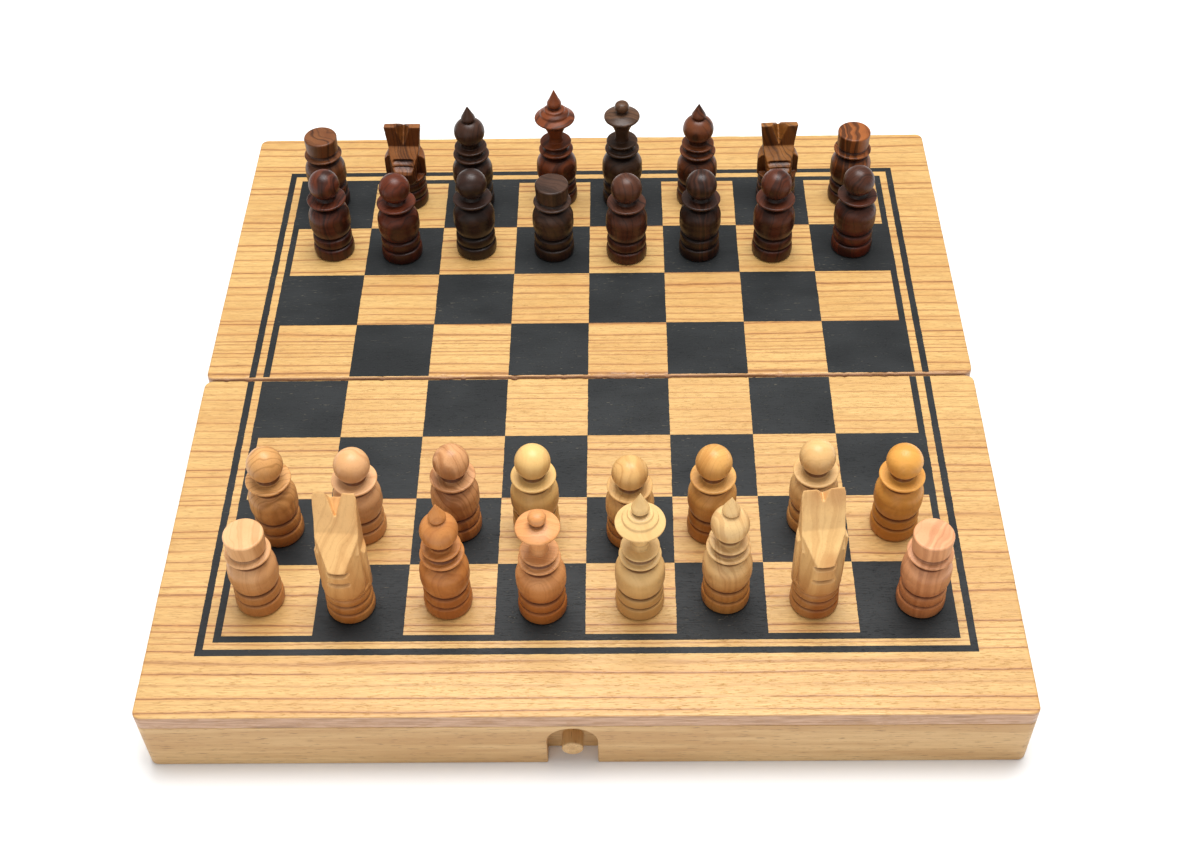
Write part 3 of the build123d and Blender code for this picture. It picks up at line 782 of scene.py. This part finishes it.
def collar(neck_radius, low, radius, thickness, top_radius):
    """Thin flared disc, hollowed on top, from the neck below it to the member above it."""
    edge = low + 0.5 + thickness
    return [
        (neck_radius, low - 0.3, 0),
        (radius - 0.25, low + 0.5, 0),
        (radius - 0.15, edge, 0.25),
        (top_radius, edge + 0.15, 0),
    ]


def ball(start_radius, centre, radius, end_radius):
    """Ball round the axis, from where it leaves the member below to where the next one starts."""
    start = centre - sqrt(radius**2 - start_radius**2)
    end = centre + sqrt(radius**2 - end_radius**2)
    half_chord = hypot(start_radius - end_radius, end - start) / 2
    return [(start_radius, start, 0), (end_radius, end, radius - sqrt(radius**2 - half_chord**2))]


CROWNED_STEM = [
    *FOOT,
    *collar(2.6, 16.8, 4.6, 0.7, 3.6),
    (3.3, 18.9, 0),
    *collar(3.3, 19.5, 4.2, 0.6, 2.0),
    (1.8, 22.2, 0),
]

OUTLINES = {
    "pawn": [*FOOT, *collar(2.6, 16.9, 5.1, 0.7, 2.7), *ball(2.3, 22.5, 4.05, 0.1), (0, 26.55, 0)],
    "rook": [
        *FOOT,
        *collar(2.6, 16.7, 5.0, 0.6, 3.9),
        (3.6, 18.6, 0),
        (4.2, 19.1, 0),
        (4.4, 23.3, 0),
        (4.15, 23.6, 0),
        (0, 23.6, 0),
    ],
    "bishop": [
        *FOOT,
        *collar(2.6, 16.9, 4.85, 0.7, 3.7),
        (3.5, 18.9, 0),
        *collar(3.5, 19.6, 4.35, 0.6, 2.6),
        *ball(2.4, 25.6, 4.15, 1.35),
        (1.95, 29.95, 0),
        (1.6, 31.2, 0.1),
        (0, 34.4, 0),
    ],
    "queen": [
        *CROWNED_STEM,
        (4.6, 27.9, -0.7),
        (4.55, 28.7, 0.25),
        (1.4, 29.7, 0.1),
        (1.4, 30.4, 0),
        (1.9, 30.9, 0),
        (1.75, 32.3, 0.12),
        (0.9, 32.9, 0.1),
        (0, 33.0, 0),
    ],
    "king": [
        *CROWNED_STEM,
        (5.15, 28.2, -0.7),
        (5.1, 29.0, 0.3),
        (3.9, 29.9, 0),
        (3.75, 30.5, 0),
        (2.8, 31.2, 0),
        (2.65, 31.7, 0),
        (1.35, 32.1, 0),
        (1.35, 32.5, 0),
        (1.95, 33.0, 0),
        (1.5, 34.6, 0.15),
        (0, 38.2, 0),
    ],
}

KNIGHT_FOOT = [
    (5.0, 0, 0),
    (5.3, 0.35, 0),
    (5.25, 2.7, 0.12),
    (4.4, 3.1, 0),
    (5.2, 3.5, 0),
    (5.1, 5.4, 0.12),
    (4.3, 5.85, 0),
    (5.1, 6.25, 0),
    (5.0, 7.9, 0.12),
    (4.3, 8.35, 0),
    (4.9, 9.1, 0),
]


def arc_points(start, end, rise, step):
    """Points after start on the arc to end that swells to the right of the way by the rise."""
    chord = (end - start).length
    if abs(rise) < 1e-6:
        count = max(1, int(chord / step))
        return [start.lerp(end, (i + 1) / count) for i in range(count)]
    radius = (chord**2 / 4 + rise**2) / (2 * abs(rise))
    turn = 2 * atan2(chord / 2, radius - abs(rise))
    count = max(3, int(radius * turn / step))
    along = (end - start).normalized()
    right = Vector((along.y, -along.x)) * (1 if rise > 0 else -1)
    centre = (start + end) / 2 - right * (radius - abs(rise))
    points = []
    for i in range(count):
        angle = turn * ((i + 1) / count - 0.5)
        points.append(centre + right * radius * cos(angle) + along * radius * sin(angle))
    return points


def soft_outline(strokes, stretch):
    """Outline as points from the middle of the foot to the tip, its corners rounded as sanding leaves them."""
    here = Vector((0, 0))
    points = [here]
    for radius, height, rise in strokes:
        there = Vector((radius, height * stretch))
        points.extend(arc_points(here, there, rise, 0.4))
        here = there
    soft = [points[0]]
    for before, point, after in zip(points, points[1:], points[2:]):
        if (point - before).angle(after - point, 0) < radians(14):
            soft.append(point)
            continue
        back = min(0.17, (point - before).length / 2.2)
        on = min(0.17, (after - point).length / 2.2)
        start = point + (before - point).normalized() * back
        end = point + (after - point).normalized() * on
        for share in (0, 0.25, 0.5, 0.75, 1):
            soft.append(start.lerp(point, share).lerp(point.lerp(end, share), share))
    soft.append(points[-1])
    return soft


def hollows(outline):
    """How deep each point of an outline lies between fuller parts above and below it."""
    depths = []
    for i, (radius, height) in enumerate(outline):
        under = max(r for r, h in outline[:i + 1] if h > height - HOLLOW_REACH)
        over = max(r for r, h in outline[i:] if h < height + HOLLOW_REACH)
        depths.append(min(under, over) - radius)
    return depths


def write_hollow(mesh, depths):
    # The men's wood is darkened by this depth as painted shade in grooves and cuts
    attribute = mesh.attributes.new("hollow", "FLOAT", "POINT")
    attribute.data.foreach_set("value", np.array(depths, dtype=np.float32))


def turn_mesh(name, strokes, stretch, seed):
    """Lathe work: the outline spun round Z, never quite round and with faint unevenness of the hand."""
    outline = soft_outline(strokes, stretch)
    bm = bmesh.new()
    rings = []
    depths = []
    for (radius, height), depth in zip(outline, hollows(outline)):
        if radius < 1e-6:
            rings.append([bm.verts.new((0, 0, height))])
            depths.append(depth)
            continue
        depths.extend([depth] * TURN_STEPS)
        ring = []
        for i in range(TURN_STEPS):
            angle = 2 * pi * i / TURN_STEPS
            oval = 0.004 * cos(2 * (angle - seed))
            lump = 0.05 * noise.noise(Vector((cos(angle) * 1.2 + seed * 7, sin(angle) * 1.2, height * 0.5)))
            own = radius * (1 + oval) + lump * min(1, radius / 2)
            ring.append(bm.verts.new((own * cos(angle), own * sin(angle), height)))
        rings.append(ring)
    for lower, upper in zip(rings, rings[1:]):
        for i in range(TURN_STEPS):
            j = (i + 1) % TURN_STEPS
            if len(lower) == 1:
                bm.faces.new((lower[0], upper[j], upper[i]))
            elif len(upper) == 1:
                bm.faces.new((lower[i], lower[j], upper[0]))
            else:
                bm.faces.new((lower[i], lower[j], upper[j], upper[i]))
    piece = solid_object(name, bm)
    piece.data.shade_smooth()
    write_hollow(piece.data, depths)
    return piece


# --- Knights ----------------------------------------------------------------------------------------------
#
# A knight is whittled from a turned blank. It looks towards -Y of its own frame. Ears: how far back and how
# high their tips are. Brow: the same for the crease under the ears. Nose: the end of the forehead facet.
# Notch: half width at the tips and the height of its bottom. Cuts: heights of nostril and mouth.

KNIGHTS = {
    "light_knight_b": {
        "turn": 4, "ears": (4.0, 36.4), "brow": (-0.1, 26.2), "nose": (-5.6, 19.2), "half": 4.7, "flare": 0.0,
        "notch": (2.1, 31.2), "rise": -1.1, "cuts": (18.3, 14.9), "chin": 10.0, "mane": 21.5, "nose_half": 1.7,
    },
    "light_knight_g": {
        "turn": -6, "ears": (4.0, 35.8), "brow": (-0.2, 25.8), "nose": (-5.6, 19.6), "half": 4.7, "flare": 0.0,
        "notch": (1.9, 31.0), "rise": 0.25, "cuts": (18.9, 14.4), "chin": 10.0, "mane": 24.0, "nose_half": 1.7,
    },
    "dark_knight_b": {
        "turn": 2, "ears": (0.7, 24.0), "brow": (0.3, 17.9), "nose": (-5.3, 12.4), "half": 4.2, "flare": 0.13,
        "notch": (2.1, 18.2), "rise": 0.8, "cuts": (14.8, 13.7), "chin": 9.6, "mane": 15.5, "nose_half": 2.2,
    },
    "dark_knight_g": {
        "turn": -2, "ears": (0.7, 23.6), "brow": (0.3, 17.3), "nose": (-5.3, 12.4), "half": 4.2, "flare": 0.13,
        "notch": (2.3, 17.6), "rise": 0.8, "cuts": (13.9, 12.9), "chin": 9.6, "mane": 15.0, "nose_half": 2.5,
    },
}
BLANK_RADIUS = 5.7


def clip(bm, point, normal):
    """Cuts a convex bmesh with a plane, drops what lies on the normal's side and closes the cut."""
    geometry = bm.verts[:] + bm.edges[:] + bm.faces[:]
    cut = bmesh.ops.bisect_plane(bm, geom=geometry, plane_co=point, plane_no=normal, clear_outer=True)
    edges = [e for e in cut["geom_cut"] if isinstance(e, bmesh.types.BMEdge)]
    if edges:
        bmesh.ops.holes_fill(bm, edges=edges)


def through(a, b, c, outside):
    """Plane through three points, as a point and a normal that looks towards the outside point."""
    a, b, c = Vector(a), Vector(b), Vector(c)
    normal = (b - a).cross(c - a).normalized()
    if normal.dot(Vector(outside) - a) < 0:
        normal = -normal
    return a, normal


def blank(radius, low, high):
    steps = 72
    circle = [(radius * cos(2 * pi * i / steps), radius * sin(2 * pi * i / steps)) for i in range(steps)]
    return prism(circle, low, high)


def knight_parts(form):
    """Convex lumps that together make the carved head: face, two ears and the neck with its mane."""
    ear_y, top = form["ears"]
    brow_y, brow_z = form["brow"]
    nose_y, nose_z = form["nose"]
    half, flare, chin, mane = form["half"], form["flare"], form["chin"], form["mane"]
    notch_half, notch_low = form["notch"]
    low = 8.5

    def sides(bm):
        """Flat cheeks of the block, wider at the ears where it flares."""
        for side in (-1, 1):
            clip(bm, (side * half, 0, brow_z), (side, 0, -flare))

    def crest(bm):
        """Round back of the head, from the ear tips down to the neck."""
        for share in (0.12, 0.4, 0.72):
            angle = radians(90 * share)
            reach = 5.6 - ear_y
            y = ear_y + 0.35 + reach * sin(angle)
            z = top - (top - brow_z) * (1 - cos(angle))
            clip(bm, (0, y, z), (0, cos(radians(90 * (1 - share))), sin(radians(90 * (1 - share)))))

    face = blank(BLANK_RADIUS, low, top + 2)
    sides(face)
    forehead = through((-1, brow_y, brow_z), (1, brow_y, brow_z), (0, nose_y, nose_z), (0, -20, 40))
    clip(face, *forehead)
    clip(face, (0, nose_y - 0.05, nose_z), (0, -1, 0.06))
    clip(face, (0, -5.5, chin), (0, -0.75, -0.66))
    for side in (-1, 1):
        nose_edge = (side * form["nose_half"], nose_y, nose_z)
        clip(face, *through((side * half, brow_y - 0.4, brow_z - 0.4), nose_edge, (side * half, -2.6, chin + 1.5),
                            (side * 20, -20, nose_z)))
        clip(face, (side * half, -2.0, chin), (side * 0.62, -0.3, -0.72))
    crest(face)
    parts = [face]
    for side in (-1, 1):
        ear = blank(BLANK_RADIUS, brow_z - 5, top)
        sides(ear)
        clip(ear, *through((-1, brow_y, brow_z), (1, brow_y, brow_z), (0, ear_y, top), (0, -20, top)))
        crest(ear)
        rise = form["rise"]
        valley = (0, brow_y, notch_low), (0, brow_y + 1, notch_low + rise)
        clip(ear, *through(*valley, (side * notch_half, ear_y, top), (-side * 20, 0, top)))
        parts.append(ear)
    neck = blank(BLANK_RADIUS - 0.15, low, mane)
    clip(neck, (0, -0.6, 0), (0, -1, 0))
    for side in (-1, 1):
        clip(neck, (side * BLANK_RADIUS, 0, mane - 1.2), (side * 0.7, 0, 0.7))
    parts.append(neck)
    foot = bmesh.new()
    bmesh.ops.create_cone(foot, cap_ends=True, segments=72, radius1=5.2, radius2=5.2, depth=9.4,
                          matrix=Matrix.Translation((0, 0, 4.7)))
    parts.append(foot)
    return parts


def carve_knight(name, form, seed):
    """Head and foot as one fine mesh, its edges softened by sanding and its cuts and grooves pressed in."""
    joined = bmesh.new()
    for part in knight_parts(form):
        bmesh.ops.recalc_face_normals(part, faces=part.faces)
        mesh = bpy.data.meshes.new("part")
        part.to_mesh(mesh)
        part.free()
        joined.from_mesh(mesh)
        bpy.data.meshes.remove(mesh)
    piece = solid_object(name, joined)
    remesh = piece.modifiers.new("whole", "REMESH")
    remesh.mode = "VOXEL"
    remesh.voxel_size = KNIGHT_VOXEL
    soften = piece.modifiers.new("soften", "SMOOTH")
    soften.factor = 0.5
    soften.iterations = 4
    settle(piece)
    groove = soft_outline(KNIGHT_FOOT, 1)
    heights = [p.y for p in groove[1:]]
    radii = [p.x for p in groove[1:]]
    sunk = hollows(groove)[1:]
    depths = []
    reach = form["nose_half"] + 0.9
    count = len(piece.data.vertices)
    places = np.empty(count * 3)
    normals = np.empty(count * 3)
    piece.data.vertices.foreach_get("co", places)
    piece.data.vertices.foreach_get("normal", normals)
    places, normals = places.reshape(-1, 3), normals.reshape(-1, 3)
    for place, normal in zip(places, normals):
        x, y, z = place
        radius = hypot(x, y)
        if z < FOOT_TOP and radius > 3.2:
            wanted = np.interp(z, heights, radii)
            share = min(1, (FOOT_TOP - z) / 0.3)
            place[:2] *= 1 + (wanted / radius - 1) * share
            depths.append(share * np.interp(z, heights, sunk))
            continue
        pressed = 0
        for cut, depth in zip(form["cuts"], (1.1, 0.9)):
            off = abs(z - cut)
            if y < -1.5 and off < CUT_HALF and abs(x) < reach:
                pressed += depth * (1 - off / CUT_HALF) * (1 - (x / reach) ** 4)
        place[1] += pressed
        depths.append(pressed * 0.7)
        push = 0.1 * noise.noise(Vector((x * 0.35 + seed, y * 0.35, z * 0.22)))
        push += 0.035 * noise.noise(Vector((x * 1.3, y * 1.3 + seed, z * 0.6)))
        place += normal * push
    piece.data.vertices.foreach_set("co", places.ravel())
    piece.data.shade_smooth()
    write_hollow(piece.data, depths)
    return piece


# --- The set ----------------------------------------------------------------------------------------------

# Wood of each man: colour of the head, of the lower part (partly the wood's own tone, partly painted shade low
# down) and of the streaks, then how strong the streaks are and how far the lower colour takes over.
WOODS = {
    "light_rook_a": ("EBC79C", "D3A46C", "B27C48", 0.25, 0.8),
    "light_knight_b": ("F3D298", "C98D4C", "B27A3C", 0.22, 0.6),
    "light_bishop_c": ("D2995E", "C98A4C", "A05F2C", 0.35, 0.4),
    "light_queen_d": ("EBB985", "C78A4A", "A86A35", 0.3, 0.9),
    "light_king_e": ("F3DDA6", "E3C68C", "C7A468", 0.15, 0.5),
    "light_bishop_f": ("F1DBA8", "D0A060", "A97238", 0.3, 0.9),
    "light_knight_g": ("F5D9A0", "B87A42", "B9803F", 0.22, 0.6),
    "light_rook_h": ("EBBD98", "CD9468", "9C6038", 0.35, 0.7),
    "light_pawn_a": ("DDB47C", "D2A468", "94642F", 0.55, 0.4),
    "light_pawn_b": ("EBC69C", "DDB27C", "B98650", 0.25, 0.6),
    "light_pawn_c": ("DDB287", "C9965C", "96602F", 0.65, 0.7),
    "light_pawn_d": ("F1D898", "DDBA78", "C09254", 0.15, 0.7),
    "light_pawn_e": ("EACB8E", "C79A5C", "A4733A", 0.3, 0.9),
    "light_pawn_f": ("EFC67E", "CC9A56", "A8702F", 0.3, 0.8),
    "light_pawn_g": ("EED4A0", "DDB878", "B98E50", 0.2, 0.7),
    "light_pawn_h": ("EFBC66", "D8A556", "B67C2E", 0.2, 0.7),
    "dark_rook_a": ("7A5234", "5A2E1A", "38190E", 0.6, 0.9),
    "dark_knight_b": ("8A5C30", "5C2E1A", "3C1C0F", 0.5, 0.9),
    "dark_bishop_c": ("453026", "36241C", "20130E", 0.5, 0.6),
    "dark_king_d": ("7A4426", "53281A", "34180F", 0.5, 0.9),
    "dark_queen_e": ("5E4838", "40281E", "28170F", 0.45, 0.9),
    "dark_bishop_f": ("6E4228", "56301F", "2E170E", 0.65, 0.7),
    "dark_knight_g": ("946834", "5A301C", "3C1E10", 0.5, 0.9),
    "dark_rook_h": ("9C6234", "66341E", "3E1E10", 0.65, 0.9),
    "dark_pawn_a": ("5E3222", "56291A", "2E140C", 0.65, 0.6),
    "dark_pawn_b": ("66331F", "562818", "32160D", 0.5, 0.6),
    "dark_pawn_c": ("382722", "2C1E1A", "1B110D", 0.4, 0.5),
    "dark_rook_d_in_pawn_rank": ("4E3C34", "33221C", "20140F", 0.4, 0.9),
    "dark_pawn_e": ("54362A", "5C3220", "2E1A12", 0.5, 0.8),
    "dark_pawn_f": ("4A3026", "442A20", "22130D", 0.6, 0.6),
    "dark_pawn_g": ("5C3424", "5A2E1E", "30180F", 0.55, 0.6),
    "dark_pawn_h": ("4A2E24", "66301E", "2C160E", 0.55, 0.9),
}

# Dark woods get somewhat paler heads, deeper lower parts (partly painted shade low down) and much darker and
# stronger streaks than listed
DARK_SHARES = (1.04, 0.97, 0.6)
DARK_STRIPES = 0.1


def build_men():
    for number, (name, (*codes, stripes, foot)) in enumerate(WOODS.items()):
        colour, kind = name.split("_")[:2]
        dark = colour == "dark"
        tones = [rgb(code, share if dark else 1) for code, share in zip(codes, DARK_SHARES)]
        stripes += DARK_STRIPES if dark else 0
        seat, height = seat_of(name, HALF_OF[colour])
        if kind == "knight":
            form = KNIGHTS[name]
            piece = carve_knight(f"{name}_carved", form, number)
            seat = seat @ Matrix.Rotation(radians(-form["turn"]), 4, "Z")
            mark_wear(piece.data, 3, 0.7)
            # Share of painted shade on steep faces, strongest on the dark knights
            upright = 0.9 if dark else 0.15
        else:
            outline = OUTLINES[kind]
            piece = turn_mesh(f"{name}_turned", outline, height / outline[-1][1], number)
            mark_wear(piece.data, 2, 0.35)
            # Share of painted shade on steep faces
            upright = 0.3 if dark else 0.12
        wood = man_wood(f"{name}_wood", *tones, number * 3.7, stripes, foot, upright)
        finish_piece(piece, seat, wood, f"{name}_body", f"{colour}_men", name)


make_camera()
make_floor()
make_lights()
build_board()
build_men()
